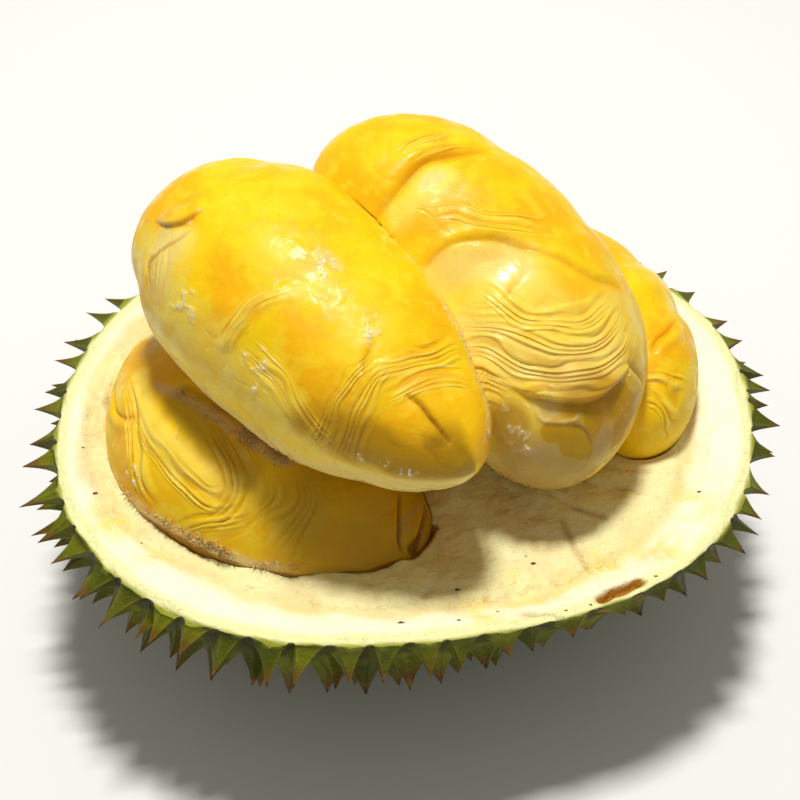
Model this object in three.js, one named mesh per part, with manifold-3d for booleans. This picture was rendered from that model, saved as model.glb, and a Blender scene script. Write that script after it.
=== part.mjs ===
// An opened durian: the lower part of its husk with the flesh still in it.
// The husk is a green rind, covered all over in spines, lined with cream pith. Two pods of yellow flesh
// lie in the hollows of the pith that they grew in, and two more are piled on top of them.
// Millimetres, +Z up. The origin is the flat spot, on the lowest spine, that the husk stands on.
// +X is the long way across the husk, and its opened face is level.
import * as THREE from "three";
import { ConvexHull } from "three/addons/math/ConvexHull.js";
import { mergeVertices } from "three/addons/utils/BufferGeometryUtils.js";
import Module from "manifold-3d";

const wasm = await Module();
wasm.setup();

// The husk as a whole
const BODY_HALF_LENGTH = 107;
const BODY_HALF_WIDTH = 97;
const BODY_HALF_HEIGHT = 62.5;
const BODY_CENTRE_Z = 69.2;
const RIND_THICKNESS = 2.2;
const FACE_Z = 69; // where the husk was opened
const GAP = 0.4; // between pieces that touch

// Its spines
const SPINE_COUNT = 640; // over the whole fruit, before it was opened
const SPINE_HEIGHT = 9;
const FOOT_SPINE_HEIGHT = 11; // the one that the origin is on
const WIDEST_SPINE_SHARE = 1.22; // those round the widest part are longer by this

// The pods. Each lies along its own x axis, and is placed by its middle, then turned about Z (yaw),
// tipped nose down (pitch). Taper and fullness change its girth towards the +x end and at both ends,
// bow and sway bend it sideways into a C and an S, and each waist is a crease right round it:
// how far along it is, from -1 to 1, and the share of the girth that it takes.
const PODS = {
  pod_front_left: {
    length: 115, width: 66, height: 58, taper: 0, fullness: -0.19, bow: 8.3, sway: -6,
    middle: [-42, -21, 63], yaw: -39, pitch: 6, waists: [[0.8, 0.06]],
  },
  pod_right: {
    length: 100, width: 54, height: 56, taper: -0.1, fullness: 0.07, bow: -14.3, sway: 0,
    middle: [55, 24, 74], yaw: -51, pitch: 0, waists: [[0, 0.05], [0.42, 0.06]],
  },
  pod_top_left: {
    length: 129, width: 68, height: 60, taper: -0.23, fullness: -0.14, bow: -0.5, sway: 3.3,
    middle: [-24, -15, 115], yaw: -48, pitch: 6, waists: [[-0.72, 0.05], [0.66, 0.05]],
  },
  pod_top_right: {
    length: 128, width: 71, height: 61, taper: 0, fullness: 0, bow: -9.2, sway: -3,
    middle: [24, 7, 108], yaw: -51, pitch: 22, waists: [[-0.5, 0.04], [0.02, 0.03]],
  },
};

// ---------- Helpers ----------

// A number from 0 to 1 that looks random but is the same for the same two counts.
function chance(count, salt) {
  const wave = Math.sin(count * 12.9898 + salt * 78.233) * 43758.5453;
  return wave - Math.floor(wave);
}

// 0 below low, 1 above high, and an S-curve between them.
const ease = (low, high, value) => THREE.MathUtils.smoothstep(value, low, high);

// 1 at the middle, falling away on both sides in a bell curve.
const bell = (offset, spread) => Math.exp(-((offset / spread) ** 2));

// A closed solid from a geometry's triangles.
function solidFrom(geometry) {
  const loose = geometry.index ? geometry.toNonIndexed() : geometry;
  const bare = new THREE.BufferGeometry().setAttribute("position", loose.getAttribute("position"));
  const merged = mergeVertices(bare, 1e-3);
  return new wasm.Manifold(
    new wasm.Mesh({
      numProp: 3,
      vertProperties: merged.attributes.position.array,
      triVerts: new Uint32Array(merged.index.array),
    }),
  );
}

function meshFrom(solid, name, material) {
  const { vertProperties, triVerts } = solid.getMesh();
  const geometry = new THREE.BufferGeometry();
  geometry.setAttribute("position", new THREE.BufferAttribute(vertProperties, 3));
  geometry.setIndex(new THREE.BufferAttribute(triVerts, 1));
  geometry.computeVertexNormals();
  const mesh = new THREE.Mesh(geometry, material);
  mesh.name = name;
  return mesh;
}

// A closed surface of rings of points: the first and last rows shrink to single points, and each row's
// columns run anticlockwise as seen from the last row.
function ringsSurface(rows, columns, pointAt) {
  const positions = [];
  const indices = [];
  for (let row = 0; row <= rows; row++)
    for (let column = 0; column < columns; column++) positions.push(...pointAt(row, column).toArray());
  for (let row = 0; row < rows; row++)
    for (let column = 0; column < columns; column++) {
      const next = (column + 1) % columns;
      const [near, nearNext] = [row * columns + column, row * columns + next];
      const [far, farNext] = [near + columns, nearNext + columns];
      if (row > 0) indices.push(near, nearNext, farNext);
      if (row < rows - 1) indices.push(near, farNext, far);
    }
  const geometry = new THREE.BufferGeometry();
  geometry.setAttribute("position", new THREE.Float32BufferAttribute(positions, 3));
  return geometry.setIndex(indices);
}

// The direction of row and column on a unit sphere whose rows climb from the bottom to the top.
function sphereDirection(row, column, rows, columns) {
  const climb = (Math.PI * row) / rows;
  const turn = (2 * Math.PI * column) / columns;
  return new THREE.Vector3(Math.sin(climb) * Math.cos(turn), Math.sin(climb) * Math.sin(turn), -Math.cos(climb));
}

// ---------- The fruit's body, at the foot of the spines ----------

// From above its outline is an ellipse with slight lobes, a flat side, a flatter end and a full corner, given
// as shares of the radius.
const TWO_LOBES = 0.02;
const THREE_LOBES = -0.015;
const FLAT_SIDE = 0.11;
const FLAT_SIDE_ANGLE = THREE.MathUtils.degToRad(60);
const FLAT_SIDE_SPREAD = 0.42;
const FLAT_END = 0.03;
const FLAT_END_SPREAD = 0.6;
const CORNER = 0.035;
const CORNER_ANGLE = THREE.MathUtils.degToRad(-40);
const CORNER_SPREAD = 0.4;
function lobing(angle) {
  const lobes = TWO_LOBES * Math.sin(2 * angle) + THREE_LOBES * Math.sin(3 * angle);
  const flat =
    FLAT_SIDE * bell(angle - FLAT_SIDE_ANGLE, FLAT_SIDE_SPREAD) +
    FLAT_END * bell(Math.PI - Math.abs(angle), FLAT_END_SPREAD);
  return 1 + lobes - flat + CORNER * bell(angle - CORNER_ANGLE, CORNER_SPREAD);
}

// The widest part of the body rises towards this side, where the wall tucks in under the face, and
// falls on the far side, where the wall leans out.
const RISE = 24.5;
const RISE_ANGLE = THREE.MathUtils.degToRad(-76);
const riseSide = new THREE.Vector3(Math.cos(RISE_ANGLE), Math.sin(RISE_ANGLE), 0);

// The point of the body in the direction of a unit vector.
function bodyPoint(direction) {
  const lobes = lobing(Math.atan2(direction.y, direction.x));
  return new THREE.Vector3(
    BODY_HALF_LENGTH * lobes * direction.x,
    BODY_HALF_WIDTH * lobes * direction.y,
    BODY_CENTRE_Z + BODY_HALF_HEIGHT * direction.z + RISE * direction.dot(riseSide) ** 3,
  );
}

// The body's outward normal there, from three points close round it.
const UP = new THREE.Vector3(0, 0, 1);
const STEP_ASIDE = 0.01;
function bodyOutward(direction) {
  const turn = new THREE.Quaternion().setFromUnitVectors(UP, direction);
  const [a, b, c] = [0, 1, 2].map((corner) => {
    const angle = (2 * Math.PI * corner) / 3;
    const aside = new THREE.Vector3(STEP_ASIDE * Math.cos(angle), STEP_ASIDE * Math.sin(angle), 1);
    return bodyPoint(aside.applyQuaternion(turn).normalize());
  });
  return b.sub(a).cross(c.sub(a)).normalize();
}

// The body without spines, a given depth under its surface.
const BODY_ROWS = 18;
const BODY_COLUMNS = 40;
function smoothBody(depth) {
  return solidFrom(
    ringsSurface(BODY_ROWS, BODY_COLUMNS, (row, column) => {
      const direction = sphereDirection(row, column, BODY_ROWS, BODY_COLUMNS);
      return bodyPoint(direction).addScaledVector(bodyOutward(direction), -depth);
    }),
  );
}

// ---------- Spines ----------

// They stand on a golden-angle spiral that winds up from the bottom of the fruit. Each fills the patch
// of ground that is nearer to it than to its neighbours.
const GOLDEN_ANGLE = Math.PI * (3 - Math.sqrt(5));
const SITE_SCATTER = 0.02;
const HEIGHT_SPREAD = 0.3;
const LEAN = 2;
const SHOULDER_OUT = 0.42; // a spine's faces are hollow: they bend here, on the way from tip to ground
const SHOULDER_UP = 0.3;

// The husk was opened along the valleys between spines. None stands closer under its face than the rim's
// room: those that would, and those up to the rim's reach above it, are moved down. Higher up the skin is bare.
const RIM_ROOM = 5;
const RIM_REACH = 5;
const BARE_HEIGHT = 0.5;

// On the side that the widest part rises to, the spines are worn short.
const WORN_ANGLE = THREE.MathUtils.degToRad(-52);
const WORN_SPREAD = 0.45;
const WORN_SHARE = 0.68;

function clearOfRim(site) {
  const above = bodyPoint(site).z - FACE_Z;
  if (above < -RIM_ROOM || above > RIM_REACH) return site;
  for (let step = 0; step < 4; step++) {
    site.z -= (bodyPoint(site).z - FACE_Z + RIM_ROOM) / BODY_HALF_HEIGHT;
    site.normalize();
  }
  return site;
}

function spineSites() {
  const sites = [new THREE.Vector3(0, 0, -1)];
  for (let k = 1; k < SPINE_COUNT; k++) {
    const height = -1 + (2 * k + 1) / SPINE_COUNT;
    const ring = Math.sqrt(1 - height * height);
    const site = new THREE.Vector3(
      ring * Math.cos(k * GOLDEN_ANGLE) + SITE_SCATTER * (chance(k, 1) - 0.5),
      ring * Math.sin(k * GOLDEN_ANGLE) + SITE_SCATTER * (chance(k, 2) - 0.5),
      height + SITE_SCATTER * (chance(k, 3) - 0.5),
    );
    sites.push(clearOfRim(site.normalize()));
  }
  return sites;
}

function spineHeight(site, k) {
  if (k === 0) return FOOT_SPINE_HEIGHT;
  if (bodyPoint(site).z > FACE_Z) return BARE_HEIGHT;
  const aside = Math.atan2(site.y, site.x) - WORN_ANGLE;
  const worn = 1 - WORN_SHARE * bell(aside, WORN_SPREAD) * ease(0.4, 0.9, Math.hypot(site.x, site.y));
  const longer = THREE.MathUtils.lerp(1, WIDEST_SPINE_SHARE, ease(0.7, 0.95, Math.hypot(site.x, site.y)));
  return SPINE_HEIGHT * longer * worn * (1 + HEIGHT_SPREAD * (chance(k, 4) - 0.5));
}

function spineTip(site, k) {
  const tip = bodyPoint(site).addScaledVector(bodyOutward(site), spineHeight(site, k));
  if (k > 0) {
    tip.x += LEAN * (chance(k, 5) - 0.5);
    tip.y += LEAN * (chance(k, 6) - 0.5);
  }
  return tip;
}

// The body with its spines: from each tip, faces fall in a hollow curve to the valleys round it.
// The valleys' corners are where three patches of ground meet, which the convex hull of the sites gives.
function spinyBody() {
  const sites = spineSites();
  const order = new Map(sites.map((site, k) => [site, k]));
  const cornerBeside = new Map();
  for (const face of new ConvexHull().setFromPoints(sites).faces) {
    const corner = bodyPoint(face.normal);
    let edge = face.edge;
    do {
      const [from, to] = [order.get(edge.tail().point), order.get(edge.head().point)];
      cornerBeside.set(from * SPINE_COUNT + to, corner);
      edge = edge.next;
    } while (edge !== face.edge);
  }
  const tips = sites.map(spineTip);
  const points = [];
  for (const [key, left] of cornerBeside) {
    const [own, neighbour] = [Math.floor(key / SPINE_COUNT), key % SPINE_COUNT];
    const right = cornerBeside.get(neighbour * SPINE_COUNT + own);
    const foot = bodyPoint(sites[own]);
    const rise = tips[own].clone().sub(foot).multiplyScalar(SHOULDER_UP);
    const [rightShoulder, leftShoulder] = [right, left].map((corner) =>
      foot.clone().lerp(corner, SHOULDER_OUT).add(rise),
    );
    points.push(tips[own], rightShoulder, leftShoulder);
    points.push(rightShoulder, right, left);
    points.push(rightShoulder, left, leftShoulder);
  }
  return solidFrom(new THREE.BufferGeometry().setFromPoints(points));
}

// ---------- The opened face ----------

// A band of cut pith round the edge steps down to a shallow dish. A wall of pith between two of the
// fruit's chambers crosses the dish under the upper pods, and behind it lies a third, empty chamber.
const BAND_EDGE = [0.85, 0.9];
const BAND_STEP = 2;
const DISH_EDGE = [0.4, 0.86];
const DISH_DEPTH = 5;
const CUT_WAVES = 7;
const CUT_WAVE_HEIGHT = 0.8;
const WALL = { middle: [-8, 24], turn: -50, halfLength: 46, halfWidth: 11, height: 17 };
const EMPTY_CHAMBER = { middle: [-42, 50], turn: 20, halfLength: 30, halfWidth: 17, height: -8 };

// A mound, or a hollow if its height is negative: a bell curve both ways across it.
function mound({ middle, turn, halfLength, halfWidth, height }, x, y) {
  const angle = THREE.MathUtils.degToRad(turn);
  const [dx, dy] = [x - middle[0], y - middle[1]];
  const lengthwise = dx * Math.cos(angle) + dy * Math.sin(angle);
  const aside = dy * Math.cos(angle) - dx * Math.sin(angle);
  return height * bell(lengthwise, halfLength) * bell(aside, halfWidth);
}

function faceHeight(x, y) {
  const angle = Math.atan2(y / BODY_HALF_WIDTH, x / BODY_HALF_LENGTH);
  const across = Math.hypot(x / BODY_HALF_LENGTH, y / BODY_HALF_WIDTH) / lobing(angle);
  const step = BAND_STEP * (1 - ease(...BAND_EDGE, across));
  const dish = DISH_DEPTH * (1 - ease(...DISH_EDGE, across));
  const wave = CUT_WAVE_HEIGHT * Math.sin(CUT_WAVES * angle) * ease(...DISH_EDGE, across);
  return FACE_Z - step - dish + wave + mound(WALL, x, y) + mound(EMPTY_CHAMBER, x, y);
}

// Everything above the face, as a solid to cut away.
const LID_RINGS = [0.2, 0.4, 0.55, 0.7, 0.8, 0.85, 0.9, 1.02, 1.35];
const LID_COLUMNS = 48;
const LID_TOP = 200;
function lid() {
  const rows = LID_RINGS.length + 2;
  return solidFrom(
    ringsSurface(rows, LID_COLUMNS, (row, column) => {
      const ring = row < 1 || row === rows ? 0 : LID_RINGS[Math.min(row, LID_RINGS.length) - 1];
      const angle = (2 * Math.PI * column) / LID_COLUMNS;
      const x = ring * BODY_HALF_LENGTH * Math.cos(angle);
      const y = ring * BODY_HALF_WIDTH * Math.sin(angle);
      return new THREE.Vector3(x, y, row > LID_RINGS.length ? LID_TOP : faceHeight(x, y));
    }),
  );
}

// ---------- Pods of flesh ----------

const POD_ROWS = 20;
const POD_COLUMNS = 28;
const POD_END_POWER = 2 / 2.5; // its ends are blunter than an ellipsoid's
const POD_SIDE_POWER = 2 / 2.2;
const WAIST_SPREAD = 0.1;

// A pod's solid, or the hollow that it lies in if it is swollen by the gap.
function podSolid(pod, swell = 0) {
  const { degToRad } = THREE.MathUtils;
  const turn = new THREE.Matrix4().makeRotationFromEuler(
    new THREE.Euler(0, degToRad(pod.pitch), degToRad(pod.yaw), "ZYX"),
  );
  turn.setPosition(...pod.middle);
  const pointAt = (row, column) => {
    const sweep = (Math.PI * row) / POD_ROWS;
    const angle = (2 * Math.PI * column) / POD_COLUMNS;
    const level = -Math.cos(sweep);
    const along = Math.sign(level) * Math.abs(level) ** POD_END_POWER;
    let girth = Math.sin(sweep) ** POD_SIDE_POWER;
    girth *= 1 + pod.taper * along + pod.fullness * (along ** 2 - 0.4);
    for (const [at, share] of pod.waists) girth *= 1 - share * bell(along - at, WAIST_SPREAD);
    const sideways = pod.bow * (along ** 2 - 0.4) + pod.sway * (along ** 3 - 0.6 * along);
    return new THREE.Vector3(
      (pod.length / 2 + swell) * along,
      (pod.width / 2 + swell) * girth * Math.cos(angle) + sideways,
      (pod.height / 2 + swell) * girth * Math.sin(angle),
    ).applyMatrix4(turn);
  };
  return solidFrom(ringsSurface(POD_ROWS, POD_COLUMNS, pointAt));
}

// ---------- Assembly ----------

const MATERIALS = {
  rind: new THREE.MeshStandardMaterial({ name: "rind", color: 0x6f7d22, roughness: 0.6 }),
  pith: new THREE.MeshStandardMaterial({ name: "pith", color: 0xf6edb8, roughness: 0.8 }),
  flesh: new THREE.MeshStandardMaterial({ name: "flesh", color: 0xf5bd18, roughness: 0.35 }),
};

// The lowest spines are blunted by the ground, so that the husk stands on their flat ends.
const GROUND_SIZE = 400;
const ground = solidFrom(
  new THREE.BoxGeometry(GROUND_SIZE, GROUND_SIZE, GROUND_SIZE).translate(0, 0, -GROUND_SIZE / 2),
);
const aboveFace = lid();
const pods = Object.entries(PODS);
const hollows = pods.map(([, pod]) => podSolid(pod, GAP));

const rind = spinyBody().subtract(smoothBody(RIND_THICKNESS)).subtract(aboveFace).subtract(ground);
const lining = smoothBody(RIND_THICKNESS + GAP).subtract(aboveFace);
const pith = hollows.reduce((solid, hollow) => solid.subtract(hollow), lining);

const durian = new THREE.Group();
durian.add(meshFrom(rind, "rind", MATERIALS.rind));
durian.add(meshFrom(pith, "pith", MATERIALS.pith));
pods.forEach(([name, pod], i) => {
  // Where pods are pressed together, an upper one takes the shape of those under and before it.
  const solid = hollows.slice(0, i).reduce((rest, hollow) => rest.subtract(hollow), podSolid(pod));
  durian.add(meshFrom(solid, name, MATERIALS.flesh));
});

export default durian;
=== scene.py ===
"""An opened durian: four pods of flesh in, and piled on, the lower part of its spiny husk.

The husk's two pieces come first, then the pods from the lowest up, and then the floor, lights and
camera. Shapes are worked out in millimetres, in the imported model's own frame, and turned to metres
as each mesh is made.
"""

import bmesh
import bpy
import numpy as np
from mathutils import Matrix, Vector


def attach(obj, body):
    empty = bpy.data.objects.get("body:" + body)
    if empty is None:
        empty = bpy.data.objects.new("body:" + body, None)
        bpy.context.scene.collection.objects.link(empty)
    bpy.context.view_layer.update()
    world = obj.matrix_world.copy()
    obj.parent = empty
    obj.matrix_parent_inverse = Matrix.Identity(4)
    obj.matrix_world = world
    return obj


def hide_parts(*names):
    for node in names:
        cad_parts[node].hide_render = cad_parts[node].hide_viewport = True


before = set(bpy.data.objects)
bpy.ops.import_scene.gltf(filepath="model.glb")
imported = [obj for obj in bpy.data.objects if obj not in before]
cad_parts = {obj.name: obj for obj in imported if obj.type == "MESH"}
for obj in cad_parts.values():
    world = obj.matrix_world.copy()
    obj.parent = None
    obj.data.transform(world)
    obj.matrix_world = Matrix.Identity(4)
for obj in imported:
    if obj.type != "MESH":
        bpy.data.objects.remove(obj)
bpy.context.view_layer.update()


# ---------------------------------------------------------------------------------------------
# The rind: the husk's tough green skin, about 2 mm thick, with its spines. They grow out of it as
# hollow-sided pyramids, each on a patch of ground of its own, in rows that wind up the fruit. They
# are brown and dry at the tips, and worn down to low bumps on one side.
# ---------------------------------------------------------------------------------------------

MM = 0.001
HALF_LENGTH = 107.0
HALF_WIDTH = 97.0
HALF_HEIGHT = 62.5
CENTRE_Z = 69.2
RIND_THICKNESS = 2.2
RISE = 24.5  # how far the widest part climbs, towards the turn below
RISE_TURN = np.radians(-76.0)
FLAT_SIDE = 0.11
FLAT_SIDE_TURN = np.radians(60.0)
FLAT_SIDE_SPREAD = 0.42
FLAT_END = 0.03
FLAT_END_SPREAD = 0.6
CORNER = 0.035
CORNER_TURN = np.radians(-40.0)
CORNER_SPREAD = 0.4

SPINE_COUNT = 640
SPINE_HEIGHT = 9.0
FOOT_SPINE_HEIGHT = 11.0
WIDEST_SPINE_SHARE = 1.22
SPINE_HEIGHT_SPREAD = 0.3
SPINE_SCATTER = 0.02
SPINE_LEAN = 2.0
SPINE_HOLLOW = 2.2  # the power that its sides fall away by
SPINE_RIDGES = 0.5  # how far its faces sink in between its ridges
GROUND_LUMPS = 0.5
WORN_TURN = np.radians(-52.0)
WORN_SPREAD = 0.45
WORN_SHARE = 0.68
BARE_HEIGHT = 0.5
RIM_ROOM = 5.0  # no spine stands closer under the face than this; those near it are moved down
RIM_REACH = 5.0
SPINE_RINGS = 7  # rings of faces from tip to ground, crowded towards the tip by a power
SPINE_CROWDING = 1.25
SPINE_STEPS = 5  # faces along each side of the ground

FACE_Z = 69.0  # where the husk was opened
BAND_STEP = 2.0
BAND_EDGE = (0.85, 0.9)  # where it starts and ends, as shares of the way out
DISH_DEPTH = 5.0
DISH_EDGE = (0.4, 0.86)
CUT_WAVES = 7
CUT_WAVE_HEIGHT = 0.8
WALL = dict(middle=(-8, 24), turn=-50, half_length=46, half_width=11, height=17)
EMPTY_CHAMBER = dict(middle=(-42, 50), turn=20, half_length=30, half_width=17, height=-8)
GROOVE = 0.83  # the cut band's inner edge, as a share of the way out
GROOVE_FURTHER = 0.1  # how much further out it is on the left
GROOVE_DEPTH = 0.8
ROUNDED_EDGE = 0.5
TEAR_WIDTH = 0.9
TEAR_DEPTH = 0.9
GASH_WIDTH = 1.1
GASH_DEPTH = 2.6
GASH_STAIN_WIDTH = 1.4

BODY_RINGS = 60
BODY_COLUMNS = 200
LID_RINGS = 150
LID_COLUMNS = 520
LID_REACH = 1.3  # as a share of the husk's half length and half width
LID_TOP = 200.0
GROUND_HALF_SIDE = 150.0
GROUND_DEPTH = 60.0


def chance(count, salt):
    """A number from 0 to 1 that looks random: the digits after the point of a large multiple of a sine."""
    wave = np.sin(count * 12.9898 + salt * 78.233) * 43758.5453
    return wave - np.floor(wave)


def ease(low, high, value):
    """0 below low and 1 above high, with 3t² - 2t³ between them."""
    t = np.clip((value - low) / (high - low), 0, 1)
    return t * t * (3 - 2 * t)


def bell(offset, spread):
    """1 at no offset, less on both sides: e to the power of minus the square of offset over spread."""
    return np.exp(-((offset / spread) ** 2))


def unit(vectors):
    """Each vector over its own length."""
    return vectors / np.linalg.norm(vectors, axis=-1, keepdims=True)


def mixed(a, b, share):
    """Part way from a to b."""
    return a + (b - a) * share


def lumps(points, size, salt):
    """Smooth noise from -1 to 1: random values at the corners of cubes of this size, eased in between."""
    corner, within = np.divmod(points / size, 1)
    within = within * within * (3 - 2 * within)
    total = 0
    for step in np.ndindex(2, 2, 2):
        share = np.prod(np.where(step, within, 1 - within), axis=-1)
        total = total + share * chance((corner + step) @ (1.0, 57.0, 113.0), salt)
    return 2 * total - 1


def lobing(turn):
    """The husk's radius from above, as a share of its ellipse's: two waves and three waves round it, less
    a flat side and a flatter end, and with a full corner."""
    waves = 0.02 * np.sin(2 * turn) - 0.015 * np.sin(3 * turn)
    flat = FLAT_SIDE * bell(turn - FLAT_SIDE_TURN, FLAT_SIDE_SPREAD)
    flat = flat + FLAT_END * bell(np.pi - np.abs(turn), FLAT_END_SPREAD)
    return 1 + waves - flat + CORNER * bell(turn - CORNER_TURN, CORNER_SPREAD)


def climb_share(direction):
    """How far a direction points to the side where the widest part climbs, from -1 to 1."""
    return direction[..., 0] * np.cos(RISE_TURN) + direction[..., 1] * np.sin(RISE_TURN)


def body_point(direction):
    """The skin at the foot of the spines: an ellipsoid with lobes, raised by the cube of the climb share."""
    x, y, z = np.moveaxis(direction, -1, 0)
    lobes = lobing(np.arctan2(y, x))
    lift = RISE * climb_share(direction) ** 3
    return np.stack(
        [HALF_LENGTH * lobes * x, HALF_WIDTH * lobes * y, CENTRE_Z + HALF_HEIGHT * z + lift], axis=-1
    )


def body_outward(direction):
    """The skin's normal: the cross product of two sides of a small triangle of skin round the direction."""
    across = unit(np.cross(direction, [0.36, 0.48, 0.8]))
    up = np.cross(direction, across)
    a, b, c = (
        body_point(unit(direction + 0.01 * (np.cos(turn) * across + np.sin(turn) * up)))
        for turn in np.radians([0, 120, 240])
    )
    return unit(np.cross(b - a, c - a))


def body_direction(points):
    """The direction whose skin lies under each point, found by undoing body_point eight times over."""
    x, y = points[:, 0] / HALF_LENGTH, points[:, 1] / HALF_WIDTH
    lobes = lobing(np.arctan2(y, x))
    direction = np.stack([x / lobes, y / lobes, (points[:, 2] - CENTRE_Z) / HALF_HEIGHT], axis=-1)
    for _ in range(8):
        lift = RISE * climb_share(unit(direction)) ** 3
        direction[:, 2] = (points[:, 2] - lift - CENTRE_Z) / HALF_HEIGHT
    return unit(direction)


def out_of_skin(points):
    """How far each point stands out of the skin at the foot of the spines, along the skin's normal."""
    direction = body_direction(points)
    return np.sum((points - body_point(direction)) * body_outward(direction), axis=1)


def closed_rings(rows, columns):
    """The faces of a surface whose first and last rows are single points, with rings between them."""
    ring = np.arange(rows - 1)[:, None] * columns + np.arange(columns) + 1
    after = np.roll(ring, -1, axis=1)
    quads = np.stack([ring[:-1], after[:-1], after[1:], ring[1:]], axis=-1).reshape(-1, 4)
    last = ring[-1, -1] + 1
    bottom = np.stack([after[0], ring[0], np.zeros(columns, int)], axis=-1)
    top = np.stack([ring[-1], after[-1], np.full(columns, last)], axis=-1)
    return [*quads.tolist(), *bottom.tolist(), *top.tolist()]


def on_rings(grid):
    """The points of a grid whose first and last rows each shrink to their first point."""
    return np.concatenate([grid[0, :1], grid[1:-1].reshape(-1, grid.shape[-1]), grid[-1, :1]])


def mesh_object(name, points, faces):
    """A new object at the origin, with its points given in millimetres."""
    mesh = bpy.data.meshes.new(name)
    mesh.from_pydata(points * MM, [], faces)
    made = bpy.data.objects.new(name, mesh)
    bpy.context.scene.collection.objects.link(made)
    return made


def cut_away(piece, *cutters):
    """Takes the cutters' solids from the piece's, and throws the cutters away."""
    for cutter in cutters:
        modifier = piece.modifiers.new("cut", "BOOLEAN")
        modifier.operation, modifier.solver, modifier.object = "DIFFERENCE", "MANIFOLD", cutter
    view = bpy.context.evaluated_depsgraph_get()
    uncut, piece.data = piece.data, bpy.data.meshes.new_from_object(piece.evaluated_get(view))
    piece.modifiers.clear()
    piece.data.materials.clear()
    piece.data.polygons.foreach_set("material_index", np.zeros(len(piece.data.polygons), np.int32))
    bpy.data.meshes.remove(uncut)
    for cutter in cutters:
        bpy.data.meshes.remove(cutter.data)


def points_of(piece):
    """The piece's points in millimetres."""
    points = np.empty(len(piece.data.vertices) * 3, np.float32)
    piece.data.vertices.foreach_get("co", points)
    return points.reshape(-1, 3).astype(float) / MM


def paint(piece, **values):
    """Stores each array of values on the piece's points, under its own name, for the finish to read."""
    for name, value in values.items():
        stored = piece.data.attributes.new(name, "FLOAT", "POINT")
        stored.data.foreach_set("value", value.astype(np.float32))


def normals_of(piece):
    """The normals at the piece's points."""
    normals = np.empty(len(piece.data.vertices) * 3, np.float32)
    piece.data.vertex_normals.foreach_get("vector", normals)
    return normals.reshape(-1, 3)


def ridges(piece):
    """How far each point stands out from its neighbours' middle along its normal; less than 0 in a fold."""
    points = points_of(piece)
    ends = np.empty(len(piece.data.edges) * 2, np.int32)
    piece.data.edges.foreach_get("vertices", ends)
    near, far = ends.reshape(-1, 2).T
    total, count = np.zeros_like(points), np.zeros(len(points))
    for a, b in ((near, far), (far, near)):
        for axis in range(3):
            total[:, axis] += np.bincount(a, points[b, axis], len(points))
        count += np.bincount(a, minlength=len(points))
    apart = points - total / np.maximum(count, 1)[:, None]
    return np.sum(apart * normals_of(piece), axis=1)


def smooth_body(depth):
    """The husk without spines, this far under its skin: a sphere of directions, each at its own point."""
    climb = np.pi * np.arange(BODY_RINGS + 1)[:, None] / BODY_RINGS
    turn = 2 * np.pi * np.arange(BODY_COLUMNS) / BODY_COLUMNS
    ring, height = np.sin(climb), -np.cos(climb)
    direction = np.stack([ring * np.cos(turn), ring * np.sin(turn), height + 0 * turn], axis=-1)
    points = on_rings(body_point(direction) - depth * body_outward(direction))
    return mesh_object("body", points, closed_rings(BODY_RINGS, BODY_COLUMNS))


def spine_sites():
    """The directions that the spines stand in: a golden-angle spiral from the bottom to the top, a little
    scattered. Those near the rim are moved down, in four steps, until they stand clear under it."""
    k = np.arange(SPINE_COUNT)
    height = -1 + (2 * k + 1) / SPINE_COUNT
    ring = np.sqrt(1 - height**2)
    turn = k * np.pi * (3 - np.sqrt(5))
    sites = np.stack([ring * np.cos(turn), ring * np.sin(turn), height], axis=-1)
    sites += SPINE_SCATTER * (np.stack([chance(k, 1), chance(k, 2), chance(k, 3)], axis=-1) - 0.5)
    sites[0] = (0, 0, -1)
    sites = unit(sites)
    above = body_point(sites)[:, 2] - FACE_Z
    near = (above >= -RIM_ROOM) & (above <= RIM_REACH)
    for _ in range(4):
        above = body_point(sites)[:, 2] - FACE_Z
        sites[:, 2] -= np.where(near, (above + RIM_ROOM) / HALF_HEIGHT, 0)
        sites = unit(sites)
    return sites


def spine_heights(sites):
    """Each spine's own height: the usual one, more round the widest part, less on the worn side, give or
    take a random share."""
    k = np.arange(SPINE_COUNT)
    aside = np.arctan2(sites[:, 1], sites[:, 0]) - WORN_TURN
    ring = np.hypot(sites[:, 0], sites[:, 1])
    worn = WORN_SHARE * bell(aside, WORN_SPREAD) * ease(0.4, 0.9, ring)
    longer = mixed(1, WIDEST_SPINE_SHARE, ease(0.7, 0.95, ring))
    heights = SPINE_HEIGHT * longer * (1 - worn) * (1 + SPINE_HEIGHT_SPREAD * (chance(k, 4) - 0.5))
    heights[body_point(sites)[:, 2] > FACE_Z] = BARE_HEIGHT
    heights[0] = FOOT_SPINE_HEIGHT
    return heights


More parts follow.
